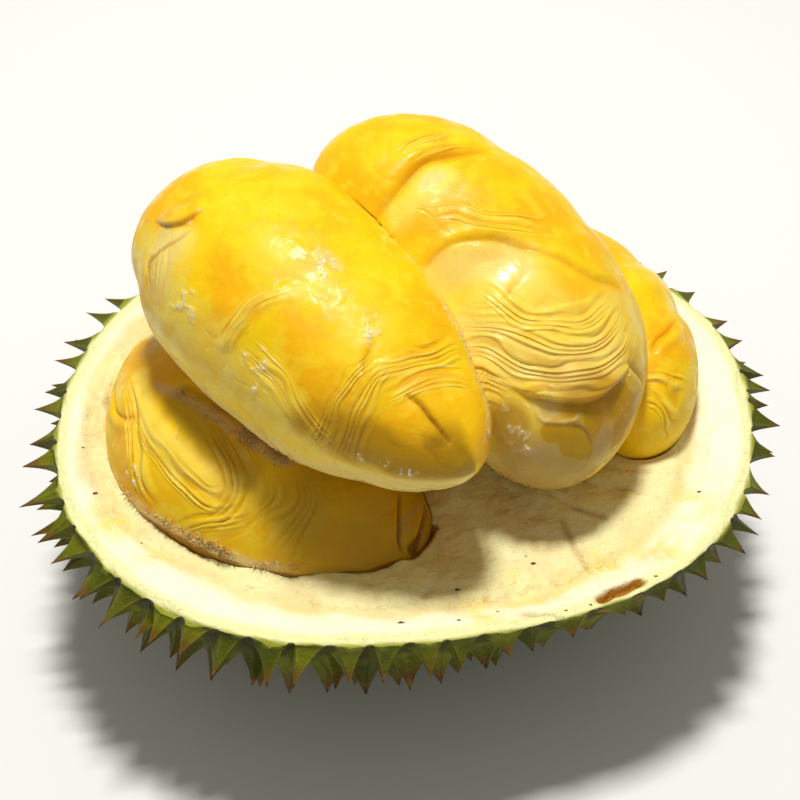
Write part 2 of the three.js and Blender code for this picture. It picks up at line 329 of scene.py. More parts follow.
def spiny_body(sites, heights):
    """Each spine has one fan of faces for each neighbour. Across a fan, s runs from 0 at the tip to 1 in the
    valley and t from one corner of the valley to the other. The ground lies at s, and stands up by the
    tip's height times (1 - s) to a power, where s is a little more between the spine's ridges."""
    mesh = bmesh.new()
    for site in sites:
        mesh.verts.new(site)
    mesh.verts.index_update()
    bmesh.ops.convex_hull(mesh, input=mesh.verts)
    bmesh.ops.triangulate(mesh, faces=mesh.faces)
    hull = np.array([[v.index for v in f.verts] for f in mesh.faces])
    mesh.free()
    a, b, c = (sites[hull[:, i]] for i in range(3))
    corners = unit(np.cross(b - a, c - a))
    outward = np.sign(np.sum(corners * a, axis=1))
    hull = np.where(outward[:, None] < 0, hull[:, ::-1], hull)
    corners *= outward[:, None]
    own = hull.ravel()
    neighbour = np.roll(hull, -1, axis=1).ravel()
    left = np.repeat(corners, 3, axis=0)
    key = own * SPINE_COUNT + neighbour
    back = np.argsort(key)[np.searchsorted(np.sort(key), neighbour * SPINE_COUNT + own)]
    right = left[back]

    k = np.arange(SPINE_COUNT)
    lean = SPINE_LEAN * (np.stack([chance(k, 5), chance(k, 6), 0.5 + 0 * k], axis=-1) - 0.5)
    lean[0] = 0
    rise = body_outward(sites) * heights[:, None] + lean

    s = ((np.arange(SPINE_RINGS + 1) / SPINE_RINGS) ** SPINE_CROWDING)[None, :, None, None]
    t = (np.arange(SPINE_STEPS + 1) / SPINE_STEPS)[None, None, :, None]
    middle = sites[own][:, None, None]
    ground = middle * (1 - s) + s * ((1 - t) * right[:, None, None] + t * left[:, None, None])
    hollow = np.minimum(s * (1 + SPINE_RIDGES * t * (1 - t) * (1 - s)), 1)
    points = body_point(unit(ground)) + rise[own][:, None, None] * (1 - hollow) ** SPINE_HOLLOW
    points = points + GROUND_LUMPS * unit(ground) * lumps(points, 6, 8)[..., None]
    flat = points.reshape(-1, 3)
    _, first, index = np.unique(np.round(flat, 4), axis=0, return_index=True, return_inverse=True)
    index = index.reshape(points.shape[:3])
    inner, outer = index[:, :-1], index[:, 1:]
    quads = np.stack([inner[..., :-1], outer[..., :-1], outer[..., 1:], inner[..., 1:]], axis=-1)
    fans = quads[:, 0, :, :3].reshape(-1, 3)
    return mesh_object("rind", flat[first], [*quads[:, 1:].reshape(-1, 4).tolist(), *fans.tolist()])


def mound(x, y, middle, turn, half_length, half_width, height):
    """A mound, or a hollow if its height is below 0: the height times a bell along it and one across it."""
    turn = np.radians(turn)
    x, y = x - middle[0], y - middle[1]
    lengthwise = x * np.cos(turn) + y * np.sin(turn)
    aside = y * np.cos(turn) - x * np.sin(turn)
    return height * bell(lengthwise, half_length) * bell(aside, half_width)


def rim_share(x, y):
    """How far out a point is from above: 0 at the middle and 1 at the foot of the spines."""
    turn = np.arctan2(y / HALF_WIDTH, x / HALF_LENGTH)
    return np.hypot(x / HALF_LENGTH, y / HALF_WIDTH) / lobing(turn)


def face_height(x, y):
    """The opened face: a level band, a step down to a shallow dish, a wall of pith and an empty chamber."""
    turn = np.arctan2(y / HALF_WIDTH, x / HALF_LENGTH)
    across = rim_share(x, y)
    step = BAND_STEP * (1 - ease(*BAND_EDGE, across))
    dish = DISH_DEPTH * (1 - ease(*DISH_EDGE, across))
    wave = CUT_WAVE_HEIGHT * np.sin(CUT_WAVES * turn) * ease(*DISH_EDGE, across)
    return FACE_Z - step - dish + wave + mound(x, y, **WALL) + mound(x, y, **EMPTY_CHAMBER)


TEARS = [
    [(47, -44), (50, -55), (53, -64), (58, -75)],
    [(50, -24), (57, -29), (65, -36)],
    [(58, -20), (66, -25), (73, -27)],
    [(64, -32), (71, -35), (78, -40)],
    [(44, -34), (52, -40), (60, -44)],
    [(-88, 20), (-91, 0), (-86, -24), (-72, -47), (-50, -62)],
    [(10, -50), (12, -62), (6, -74)],
    [(24, -74), (34, -80), (46, -82)],
]
# The first gash, at the hollow's edge by the front left pod's nose, is stained brown as painted shade; the
# second is the torn notch at the rim.
GASHES = [[(2, -56), (6, -50.5), (10, -44)], [(56, -75), (59.5, -73.2), (62.6, -72.6), (67, -70)]]


def tear_share(x, y, tears, width):
    """How deep in a tear of the pith a point is, from 0 to 1: a bell of how far the nearest tear is."""
    points = np.stack([x + 0.8 * lumps(np.stack([x, y, 0 * x], axis=-1), 5, 15), y], axis=-1)
    nearest = np.full(np.shape(x), np.inf)
    for tear in tears:
        for start, end in zip(np.array(tear[:-1], float), np.array(tear[1:], float)):
            run = end - start
            t = np.clip((points - start) @ run / (run @ run), 0, 1)
            nearest = np.minimum(nearest, np.linalg.norm(points - start - t[..., None] * run, axis=-1))
    return bell(nearest, width)


def past_band(x, y):
    """How far out of the cut band's inner edge a point is, as a share of the husk. The band is narrower on
    the left."""
    return rim_share(x, y) - GROOVE - GROOVE_FURTHER * ease(-0.5, -0.95, x / HALF_LENGTH)


def face_relief(x, y):
    """The torn and cut pith: soft lumps and tears in the dish, small lumps on the band with a groove
    between the two, and a rounded edge."""
    flat = np.stack([x, y, 0 * x], axis=-1)
    torn = 1 - ease(-0.03, 0.05, past_band(x, y))
    soft = 1.5 * lumps(flat, 18, 11) + 1.0 * lumps(flat, 8, 12) + 0.7 * np.abs(lumps(flat, 4.5, 14))
    fine = 0.25 * lumps(flat, 2.6, 13)
    open_tears = TEAR_DEPTH * tear_share(x, y, TEARS, TEAR_WIDTH)
    open_tears = open_tears + GASH_DEPTH * tear_share(x, y, GASHES, GASH_WIDTH)
    groove = GROOVE_DEPTH * bell(past_band(x, y), 0.025)
    edge = ROUNDED_EDGE * bell(rim_share(x, y) - 1, 0.012)
    return soft * mixed(0.3, 1, torn) + fine - groove - open_tears - edge


def face_level(x, y):
    """The opened face with its lumps, tears and groove."""
    return face_height(x, y) + face_relief(x, y)


def gash_stain(x, y):
    """How far a point is stained by a gash that it lies in or close to, from 0 to 1."""
    return ease(0.15, 0.4, tear_share(x, y, GASHES, GASH_STAIN_WIDTH))


def lid():
    """A solid of all that is above the opened face, in rings from the middle out past the spines."""
    out = LID_REACH * np.linspace(0, 1, LID_RINGS + 1)[:, None] ** 0.8
    turn = 2 * np.pi * np.arange(LID_COLUMNS) / LID_COLUMNS
    x, y = HALF_LENGTH * out * np.cos(turn), HALF_WIDTH * out * np.sin(turn)
    face = np.stack([x, y, face_level(x, y)], axis=-1)
    wall = face[-1:].copy()
    wall[..., 2] = LID_TOP
    top = np.broadcast_to([0.0, 0.0, LID_TOP], wall.shape)
    points = on_rings(np.concatenate([face, wall, top]))
    return mesh_object("lid", points, closed_rings(LID_RINGS + 2, LID_COLUMNS))


def ground_block():
    """A block under the floor, which blunts the lowest spines."""
    sides = [-GROUND_HALF_SIDE, GROUND_HALF_SIDE]
    x, y, z = (axis.ravel() for axis in np.meshgrid(sides, sides, [-GROUND_DEPTH, 0.0]))
    block = mesh_object("ground", np.stack([x, y, z], axis=-1), [])
    mesh = bmesh.new()
    mesh.from_mesh(block.data)
    bmesh.ops.convex_hull(mesh, input=mesh.verts)
    bmesh.ops.recalc_face_normals(mesh, faces=mesh.faces)
    mesh.to_mesh(block.data)
    mesh.free()
    return block


def sketch(colour):
    """A paint colour, given as three screen values up to 255, as the light that it gives back."""
    share = np.array(colour) / 255
    light = np.where(share < 0.04045, share / 12.92, ((share + 0.055) / 1.055) ** 2.4)
    return (*light.tolist(), 1.0)


class Socket:
    """A value in a finish that can be added to, multiplied and so on, each time with one Math node."""

    def __init__(self, finish, link):
        self.finish, self.link = finish, link

    def __add__(self, other):
        return self.finish.maths("ADD", self, other)

    def __sub__(self, other):
        return self.finish.maths("SUBTRACT", self, other)

    def __rsub__(self, other):
        return self.finish.maths("SUBTRACT", other, self)

    def __mul__(self, other):
        return self.finish.maths("MULTIPLY", self, other)

    def __pow__(self, other):
        return self.finish.maths("POWER", self, other)

    __radd__, __rmul__ = __add__, __mul__


class Finish:
    """A material, built up from its nodes."""

    def __init__(self, name, **constants):
        self.material = bpy.data.materials.new(name)
        self.material.use_nodes = True
        self.nodes, self.links = self.material.node_tree.nodes, self.material.node_tree.links
        self.shader = self.nodes["Principled BSDF"]
        self.place = self.add("ShaderNodeTexCoord", output="Object")
        self.set_inputs(self.shader, {name.replace("_", " "): value for name, value in constants.items()})

    def set_inputs(self, node, inputs):
        """Links each input that is a socket and sets each that is a constant."""
        for name, value in inputs.items():
            if isinstance(value, Socket):
                self.links.new(value.link, node.inputs[name])
            else:
                node.inputs[name].default_value = value

    def add(self, kind, settings=None, inputs=None, output=0):
        """A node of this kind with its settings and then its inputs, as the socket of one of its outputs."""
        node = self.nodes.new(kind)
        for name, value in (settings or {}).items():
            setattr(node, name, value)
        self.set_inputs(node, inputs or {})
        return Socket(self, node.outputs[output])

    def maths(self, operation, *values):
        """One Math node on these values."""
        return self.add("ShaderNodeMath", {"operation": operation}, dict(enumerate(values)))

    def painted(self, name):
        """A value that is stored on the piece's points."""
        return self.add("ShaderNodeAttribute", {"attribute_name": name}, output="Fac")

    def grain(self, size, detail=2.0, place=None, distortion=0.0):
        """Noise from 0 to 1 with grains of this size in millimetres, bent by its own noise if distorted."""
        settings = {"Vector": place or self.place, "Scale": 1 / (MM * size), "Detail": detail}
        return self.add("ShaderNodeTexNoise", {}, {**settings, "Distortion": distortion}, "Fac")

    def between(self, low, high, value):
        """0 below low, 1 above high, and an S-curve between them."""
        settings = {"interpolation_type": "SMOOTHSTEP"}
        inputs = {"Value": value, "From Min": low, "From Max": high}
        return self.add("ShaderNodeMapRange", settings, inputs, "Result")

    def blend(self, share, first, second):
        """A colour part way from the first to the second."""
        inputs = {0: share, 6: first, 7: second}
        return self.add("ShaderNodeMix", {"data_type": "RGBA"}, inputs, output=2)

    def vector(self, *parts):
        """Three values as one place in a pattern."""
        return self.add("ShaderNodeCombineXYZ", {}, dict(enumerate(parts)), "Vector")

    def coats(self, colour, layers):
        """A colour with others laid over it in turn, each one by its own share."""
        for share, over in layers:
            colour = self.blend(share, colour, sketch(over))
        return colour

    def bump(self, height, depth, under=None):
        """A bump of this depth in millimetres for heights from 0 to 1, over another bump if there is one."""
        inputs = {"Height": height, "Distance": depth * MM, "Strength": 1.0}
        if under:
            inputs["Normal"] = under
        return self.add("ShaderNodeBump", {}, inputs, "Normal")

    def dry(self, colour, rough, normal):
        """The finished material, with its colour, its roughness and its bumps."""
        self.set_inputs(self.shader, {"Base Color": colour, "Roughness": rough, "Normal": normal})
        return self.material


GASH_COLOUR = (176, 120, 30)


def rind_finish():
    """Olive green sides, with painted shade in the valleys and paler ridges, brown tips, and a pale cut edge.
    """
    finish = Finish("durian_rind", Specular_IOR_Level=0.2)
    up, spine, cut = finish.painted("up_spine"), finish.painted("spine"), finish.painted("cut")
    speckle, streaks, patches = finish.grain(0.7), finish.grain(2.2, 3), finish.grain(9)
    green, lime, valley, ridge_paler = (82, 88, 4), (124, 128, 10), (36, 32, 4), (150, 144, 60)
    brown, tip = (112, 76, 30), (56, 36, 18)
    browned = finish.between(0.38, 0.85, up + (spine - 0.5) * 0.35 + (speckle - 0.5) * 0.3)
    skin = finish.coats(
        sketch(green),
        [
            (finish.between(0.3, 0.75, patches * 0.6 + spine * 0.4), lime),
            (finish.between(0.35, 0.8, streaks) * 0.35, (76, 76, 8)),
            # painted shade: the valleys between the spines are darkened
            (finish.between(0.14, 0.0, up) * 0.75, valley),
            (finish.painted("ridge") * 0.45, ridge_paler),
            (browned * 0.85, brown),
            (finish.between(0.86, 0.97, up), tip),
        ],
    )
    edge = finish.coats(sketch((146, 150, 34)), [(finish.painted("depth"), (244, 240, 178))])
    colour = finish.coats(finish.blend(cut, skin, edge), [(finish.painted("gash"), GASH_COLOUR)])
    cut_normal = finish.bump(finish.grain(3.4, 4) * cut, 1.3)
    normal = finish.bump(speckle, 0.25, finish.bump(streaks, 0.5, cut_normal))
    return finish.dry(colour, 0.42 + 0.3 * speckle, normal)


sites = spine_sites()
heights = spine_heights(sites)
rind = spiny_body(sites, heights)
cut_away(rind, smooth_body(RIND_THICKNESS), lid(), ground_block())

points = points_of(rind)
stands = out_of_skin(points)
parts = np.array_split(body_direction(points), 20)
nearest = np.concatenate([np.argmax(part @ sites.T, axis=1) for part in parts])
x, y, z = points.T
paint(
    rind,
    up_spine=np.clip(stands / heights[nearest], 0, 1),
    spine=chance(nearest, 7),
    ridge=ease(0.04, 0.3, ridges(rind)) * ease(0.3, 2.0, stands),
    cut=1 - ease(0.05, 0.3, np.abs(z - face_level(x, y))),
    gash=gash_stain(x, y) * ease(-8, -4, z - FACE_Z),
    depth=ease(0.5, -0.6, stands + 0.5 * lumps(points, 5, 9)),
)
rind.data.shade_smooth()
rind.data.set_sharp_from_angle(angle=np.radians(32))
rind.data.materials.append(rind_finish())
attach(rind, "root")
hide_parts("rind")


# ---------------------------------------------------------------------------------------------
# The pith: the cream lining of the rind. It was cut level at the edge and torn where the pods
# were pulled out of it, and the two lower pods lie in the hollows that they grew in.
# ---------------------------------------------------------------------------------------------

POD_END_POWER = 2 / 2.5
POD_SIDE_POWER = 2 / 2.2
WAIST_SPREAD = 0.1
HOLLOW_RINGS = 90
HOLLOW_COLUMNS = 120
PODS = {
    "pod_front_left": dict(
        length=115, width=66, height=58, taper=0, fullness=-0.19, bow=8.3, sway=-6,
        middle=(-42, -21, 63), yaw=-39, pitch=6, waists=[(0.8, 0.06)],
    ),
    "pod_right": dict(
        length=100, width=54, height=56, taper=-0.1, fullness=0.07, bow=-14.3, sway=0,
        middle=(55, 24, 74), yaw=-51, pitch=0, waists=[(0, 0.05), (0.42, 0.06)],
    ),
    "pod_top_left": dict(
        length=129, width=68, height=60, taper=-0.23, fullness=-0.14, bow=-0.5, sway=3.3,
        middle=(-24, -15, 115), yaw=-48, pitch=6, waists=[(-0.72, 0.05), (0.66, 0.05)],
    ),
    "pod_top_right": dict(
        length=128, width=71, height=61, taper=0, fullness=0, bow=-9.2, sway=-3,
        middle=(24, 7, 108), yaw=-51, pitch=22, waists=[(-0.5, 0.04), (0.02, 0.03)],
    ),
}


def pod_turn(pod):
    """The rotation that lays a pod's own axes in the fruit: nose down by the pitch, then round by the yaw."""
    yaw, pitch = np.radians([pod["yaw"], pod["pitch"]])
    about_z = [[np.cos(yaw), -np.sin(yaw), 0], [np.sin(yaw), np.cos(yaw), 0], [0, 0, 1]]
    about_y = [[np.cos(pitch), 0, np.sin(pitch)], [0, 1, 0], [-np.sin(pitch), 0, np.cos(pitch)]]
    return np.array(about_z) @ about_y


def pod_girth(pod, along):
    """A pod's girth as a share of its widest: a blunt ellipse, tapered and filled out, less its waists."""
    level = np.abs(along) ** (1 / POD_END_POWER)
    girth = np.sqrt(np.maximum(1 - level**2, 0)) ** POD_SIDE_POWER
    girth = girth * (1 + pod["taper"] * along + pod["fullness"] * (along**2 - 0.4))
    for at, share in pod["waists"]:
        girth = girth * (1 - share * bell(along - at, WAIST_SPREAD))
    return girth


def pod_sideways(pod, along):
    """How far a pod bends to one side: a square for the bow and a cube for the sway."""
    return pod["bow"] * (along**2 - 0.4) + pod["sway"] * (along**3 - 0.6 * along)


def pod_points(pod, along, turn, swell=0.0):
    """A pod's surface: at each place along it an ellipse of its girth, moved sideways, then turned."""
    girth, aside = pod_girth(pod, along), pod_sideways(pod, along)
    own = np.stack(
        [
            (pod["length"] / 2 + swell) * along + 0 * turn,
            (pod["width"] / 2 + swell) * girth * np.cos(turn) + aside,
            (pod["height"] / 2 + swell) * girth * np.sin(turn),
        ],
        axis=-1,
    )
    return own @ pod_turn(pod).T + pod["middle"]


def pod_grid(rows, columns, crowd=0.0, crowd_turn=0.0):
    """Places along a pod and turns round it, close together at both ends and, if crowded, towards the nose
    and on one side."""
    level = np.pi * np.arange(rows + 1)[:, None] / rows
    level = -np.cos(level + 0.5 * crowd * np.sin(level))
    along = np.sign(level) * np.abs(level) ** POD_END_POWER
    turn = 2 * np.pi * np.arange(columns) / columns - np.pi / 2
    turn = turn - crowd * (np.sin(turn - crowd_turn) - np.sin(-np.pi / 2 - crowd_turn))
    return along, turn


def hollow(pod, room):
    """The solid that a pod takes up in the pith, with some room round it."""
    points = on_rings(pod_points(pod, *pod_grid(HOLLOW_RINGS, HOLLOW_COLUMNS), room))
    return mesh_object("hollow", points, closed_rings(HOLLOW_RINGS, HOLLOW_COLUMNS))


def pith_finish():
    """Cream, palest on the cut band, yellow-green against the rind, warmer and fibrous where it was torn."""
    finish = Finish("durian_pith", Subsurface_Weight=0.2, Subsurface_Scale=0.003, Specular_IOR_Level=0.35)
    clouds, fibres, speckle = finish.grain(14, 4, distortion=0.5), finish.grain(3.4, 4), finish.grain(0.9, 2)
    inner = finish.painted("torn")
    wet = finish.painted("wet") * (0.5 + finish.between(0.4, 0.6, finish.grain(6, 3)) * 0.5)
    ivory, cream, tan, green = (252, 250, 222), (243, 234, 176), (220, 188, 124), (236, 236, 150)
    colour = finish.coats(
        sketch(ivory),
        [
            (inner, cream),
            (finish.between(0.42, 0.75, clouds) * (0.1 + 0.55 * inner), (240, 214, 142)),
            # painted shade: the groove at the cut band's inner edge is darkened to tan
            (finish.painted("groove") * 0.55, (240, 214, 140)),
            (wet * 0.8, (250, 222, 96)),
            (finish.between(0.5, 0.75, fibres) * inner * 0.18, tan),
            (finish.painted("skin_side"), green),
            (finish.painted("chamber"), tan),
            (finish.painted("lip"), (132, 80, 32)),
            (finish.painted("tear"), (170, 122, 58)),
            # the first gash's stain is painted shade
            (finish.painted("gash"), GASH_COLOUR),
            (finish.painted("crumb"), (112, 66, 28)),
        ],
    )
    fine = finish.bump(finish.grain(2.4, 3) * wet + speckle * 0.4, 0.8)
    normal = finish.bump(fibres * (0.4 + inner * 0.6), 1.2, fine)
    return finish.dry(colour, 0.5 - wet * 0.25, normal)


POD_ROOM = {"pod_front_left": 0.3, "pod_right": 0.3, "pod_top_left": 0.5, "pod_top_right": 0.5}
pith = smooth_body(RIND_THICKNESS)
pith.name = "pith"
cut_away(pith, lid(), *(hollow(PODS[name], room) for name, room in POD_ROOM.items()))


def crumb(x, y, size):
    """The points of a crumb of husk that lies on the face: an octahedron, flattened and turned."""
    turns = 6.28 * chance(x, size) + np.array([0, 1.6, 3.1, 4.7])
    across, over = size * np.cos(turns), size * np.sin(turns)
    level = face_level(x, y)
    ring = np.stack([x + across, y + 0.5 * over, level + 0.1 + 0 * over], axis=-1)
    return np.concatenate([ring, [[x, y, level + 0.5 * size], [x, y, level - 0.5 * size]]])


# Each crumb's place on the face, and its size
CRUMBS = [(88, -36, 0.9), (38, -60, 1.0), (36, -57, 0.5), (16, -71, 1.1), (0, -83.5, 1.2)]
CRUMBS += [(16, -83, 0.7), (27, -78, 0.5), (-90, -37, 1.0), (-96, -18, 0.6), (-75, -54, 0.5)]
CRUMBS += [(53, -77, 0.6), (46, -79, 0.6), (72, -68, 0.7), (75, -70, 0.8)]
CRUMB_FACES = [[0, 1, 4], [1, 2, 4], [2, 3, 4], [3, 0, 4], [1, 0, 5], [2, 1, 5], [3, 2, 5], [0, 3, 5]]
solid = len(pith.data.vertices)
crumbs = mesh_object(
    "crumbs",
    np.concatenate([crumb(*place) for place in CRUMBS]),
    [[6 * index + corner for corner in face] for index in range(len(CRUMBS)) for face in CRUMB_FACES],
)
mesh = bmesh.new()
for part in (pith, crumbs):
    mesh.from_mesh(part.data)
mesh.to_mesh(pith.data)
mesh.free()
bpy.data.objects.remove(crumbs)

# Each wet place's middle, and how far it spreads
WET_PLACES = [((75, -60), 9), ((58, -62), 6), ((47, -70), 5), ((86, -42), 7), ((34, -68), 5)]
WET_PLACES += [((-84, 8), 7), ((22, -80), 6), ((36, -74), 5), ((-85, -50), 7), ((-72, -62), 5)]

points = points_of(pith)
x, y, z = points.T
below_face = face_level(x, y) - z
past = past_band(x, y) + 0.02 * lumps(points, 9, 21)
wet = np.max([bell(np.hypot(x - at[0], y - at[1]), size) for at, size in WET_PLACES], axis=0)
paint(
    pith,
    torn=1 - ease(-0.02, 0.04, past),
    skin_side=ease(5.0, 2.0, 0.8 * lumps(points, 7, 22) - out_of_skin(points)) * 0.7,
    wet=wet * ease(-0.9, 0.3, lumps(points, 6, 25)),
    tear=tear_share(x, y, TEARS, TEAR_WIDTH) * ease(0.0, 0.8, 0.3 + lumps(points, 6, 24)) * 0.5,
    gash=gash_stain(x, y),
    # the groove's tan stain is painted shade
    groove=bell(past, 0.022),
    crumb=np.arange(len(points)) >= solid,
    chamber=ease(0.6, 3.0, below_face) * 0.9,
    lip=bell(below_face - 0.9, 0.6) * ease(-0.2, 0.6, lumps(points, 5, 23)) * 0.7,
)
pith.data.shade_smooth()
pith.data.set_sharp_from_angle(angle=np.radians(50))
pith.data.materials.append(pith_finish())
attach(pith, "root")
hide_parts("pith")


# ---------------------------------------------------------------------------------------------
# The front left pod: soft flesh in a thin skin, lying in the hollow that it grew in. Its skin has
# slid into pleats that run over it from the side of the fruit's middle.
# ---------------------------------------------------------------------------------------------

STAINS = ("crease", "pale", "cream", "fringe", "olive", "brown", "white")
FOLD_LAYERS = 3  # bundles of pleats that can lie over one another
COUNTED = 1 / MM  # the grain of a pattern that is counted in pleats, not measured in millimetres
GRID_CROWDING = 0.62
MM_PER_DEGREE = 0.55  # round a pod of middling girth
PRESSED_IN = 0.7  # how far a pod reaches into the one that it rests on
CLING = 0.1
SPIKE_FACES = [[0, 1, 3], [1, 2, 3], [2, 0, 3], [1, 0, 2]]


def spikes(foot, outward, length):
    """The four points of a thin spike at each foot: a ring of three round it, and a tip that stands out from
    it by about this length or less, and leans up and aside at random."""
    aside = unit(np.cross([0.1, 0.0, 1.0], outward))
    uphill = np.cross(outward, aside)
    k = np.arange(len(foot))[:, None]
    lean = (0.5 + chance(k, 1)) * uphill + 2 * (chance(k, 2) - 0.5) * aside
    tip = foot + length * (0.3 + 0.7 * chance(k, 3)) * (0.6 * outward + 0.7 * lean)
    ring = [
        foot - 0.3 * outward + 0.28 * (np.cos(turn) * aside + np.sin(turn) * uphill)
        for turn in np.radians([0, 120, 240])
    ]
    return np.stack([*ring, tip], axis=1).reshape(-1, 3)


def clear_of(pod, points):
    """Moves points that lie in a pod straight out from its axis to where the two are pressed together. Those
    outside it by no more than the cling, as a share of its half thickness, are drawn in to it, so that
    the two skins meet in a rounded valley."""
    own = (points - pod["middle"]) @ pod_turn(pod)
    along = np.clip(own[:, 0] / (pod["length"] / 2 - PRESSED_IN), -1, 1)
    aside, girth = pod_sideways(pod, along), pod_girth(pod, along)
    y = (own[:, 1] - aside) / (pod["width"] / 2 - PRESSED_IN)
    z = own[:, 2] / (pod["height"] / 2 - PRESSED_IN)
    out = np.maximum(np.hypot(y, z), 1e-6)
    outside = np.maximum(out - girth, 0)
    reach = np.where(np.abs(along) < 0.97, ease(0, CLING, outside), 1)
    moved = (girth + outside * reach) / out
    own[:, 1] = aside + (own[:, 1] - aside) * moved
    own[:, 2] *= moved
    return own @ pod_turn(pod).T + pod["middle"]


class Skin:
    """A pod's skin as it is worked: a grid of points, each at so many millimetres along the pod and so many
    degrees round it, 90 on top. Each fold adds to its height, and to how far it is creased or stained."""

    def __init__(self, name, rows, columns, crowd_turn, salt):
        self.name, self.pod, self.salt = name, PODS[name], salt
        self.faces = closed_rings(rows, columns)
        along, turn = pod_grid(rows, columns, GRID_CROWDING, np.radians(crowd_turn))
        self.base = on_rings(pod_points(self.pod, along, turn))
        girth = pod_girth(self.pod, along) * (self.pod["width"] + self.pod["height"]) / 4
        sheet = np.broadcast_arrays(along * self.pod["length"] / 2, np.degrees(turn), girth)
        self.along, self.round, self.radius = on_rings(np.stack(sheet, axis=-1)).T
        self.height = np.zeros(len(self.base))
        self.stains = {stain: np.zeros(len(self.base)) for stain in STAINS}
        self.layers = np.zeros((FOLD_LAYERS, 3, len(self.base)))
        self.torn = []

    def stain(self, name, share):
        """Adds a stain where it is stronger than what is there."""
        self.stains[name] = np.maximum(self.stains[name], share)

    def clean(self, name, share):
        """Takes away this share of a stain."""
        self.stains[name] = self.stains[name] * (1 - share)

    def beside(self, path):
        """For each point, how far down the path the nearest place is, from 0 to 1, and how far aside in
        millimetres, above 0 on the path's left. The path is a smooth curve through its points."""
        path = np.array(path, float)
        ends = np.concatenate([2 * path[:1] - path[1:2], path, 2 * path[-1:] - path[-2:-1]])
        t = np.linspace(0, 1, 7)[:-1, None, None]
        p, a, b, q = ends[:-3], ends[1:-2], ends[2:-1], ends[3:]
        curve = a + t / 2 * (b - p + t * (2 * p - 5 * a + 4 * b - q + t * (3 * (a - b) + q - p)))
        curve = np.concatenate([curve.transpose(1, 0, 2).reshape(-1, 2), path[-1:]])
        per_degree = np.radians(1) * np.maximum(self.radius, 4)
        nearest = np.full(len(self.base), np.inf)
        down, aside = np.zeros(len(self.base)), np.zeros(len(self.base))
        for step, (start, end) in enumerate(zip(curve[:-1], curve[1:])):
            dx, dy = end[0] - start[0], (end[1] - start[1]) * per_degree
            x, y = self.along - start[0], (self.round - start[1]) * per_degree
            t = np.clip((x * dx + y * dy) / (dx**2 + dy**2), 0, 1)
            far = np.hypot(x - t * dx, y - t * dy)
            closer = far < nearest
            nearest = np.where(closer, far, nearest)
            down = np.where(closer, (step + t) / (len(curve) - 1), down)
            aside = np.where(closer, np.copysign(far, dx * y - dy * x), aside)
        return down, aside

    def pleats(self, path, widths, creases, depth, wander=1.4):
        """A bundle of pleats side by side along a path, each lapped over the next on its left. They wander,
        and each has its own height. Where each point is, counted in pleats across and millimetres down,
        is kept for the finish, which draws the creases and the strands too fine for this grid."""
        self.salt += 7
        salt = self.salt
        down, aside = self.beside(path)
        width = mixed(*widths, down)
        inside = 1 - ease(0.5, 1.0, np.abs(2 * aside / width))
        inside = inside * ease(0, 0.3, down) * (1 - ease(0.7, 1, down))
        across = (aside / width + 0.5) * creases + wander * lumps(self.base, 18, salt)
        across = across + 0.5 * wander * lumps(self.base, 8, salt + 1) + 0.4 * np.sin(1.7 * across + salt)
        pleat = np.floor(across)
        near = np.abs(2 * (across - pleat) ** 2 - 1)
        length = np.linalg.norm(np.diff(path, axis=0) * (1, MM_PER_DEGREE), axis=1).sum()
        strand = np.stack([3.1 * pleat, down * length / 14, 0 * down], axis=-1)
        tall = 0.6 + 0.4 * lumps(strand, 1.0, salt + 2)
        wide_enough = ease(0.9, 2.4, width / creases)
        self.height += inside * depth * (0.25 + wide_enough * tall * (1 - near**2.5) - 0.5 * wide_enough)
        # painted highlight: the pleats' crests are stained pale
        self.stain("pale", 0.5 * inside * tall * (1 - near**2))
        free = [layer for layer in self.layers if not np.any((layer[2] > 0.03) & (inside > 0.03))]
        layer = (free or self.layers)[0]
        layer[:] = np.where(inside > layer[2], [across, down * length, inside], layer)

    def crease(self, path, width, depth, lip, dark=0.0):
        """One sharp crease along a path, with a raised lip on its left. Its depth is stained orange, and
        brown if dark, as painted shade.
        """
        down, aside = self.beside(path)
        lasts = np.sqrt(4 * down * (1 - down))
        dip = lasts * np.exp(-np.abs(aside) / width)
        self.height += lip * lasts * bell(aside - 2.5 * width, 2.2 * width) - depth * dip
        # painted shade in the crease's depth
        self.stain("crease", dip)
        self.stain("brown", dark * dip)

    def ledge(self, path, rise, run, reach):
        """A step in the skin along a path, higher on its left, which evens out again within reach of it. Its
        foot is stained as painted shade.
        """
        down, aside = self.beside(path)
        lasts = ease(0, 0.3, down) * (1 - ease(0.7, 1, down))
        self.height += rise * (ease(-run, run, aside) - 0.5) * bell(aside, reach) * lasts
        # painted shade at the foot of the step, under its higher side
        self.stain("crease", lasts * bell(aside + run, run))

    def roll(self, path, width, raised):
        """A soft rounded ridge along a path, or a trough if it is raised by less than 0."""
        down, aside = self.beside(path)
        self.height += raised * bell(aside, width) * ease(0, 0.25, down) * (1 - ease(0.75, 1, down))

    def side(self, stain, path, soft, strength):
        """A stain over all that is on a path's left, up to a soft and uneven edge. The path is carried on
        straight past both its ends, and the stain fades out at the bottom of the pod."""
        path, past = np.array(path, float), np.array([[1.0], [2.0], [3.0]])
        before = path[:1] + past[::-1] * (path[0] - path[1])
        after = path[-1:] + past * (path[-1] - path[-2])
        aside = self.beside(np.concatenate([before, path, after]))[1]
        uneven = aside + soft * (0.8 * lumps(self.base, 9, 31) + 0.5 * lumps(self.base, 4, 32))
        above = ease(-88, -60, self.round) * ease(268, 240, self.round)
        self.stain(stain, strength * above * ease(-soft, soft, uneven))

    def near(self, path, width):
        """A share for a strip along a path, uneven at its edges."""
        uneven = np.abs(self.beside(path)[1]) + 0.35 * width * lumps(self.base, 6, 33)
        return 1 - ease(0.4 * width, width, uneven)

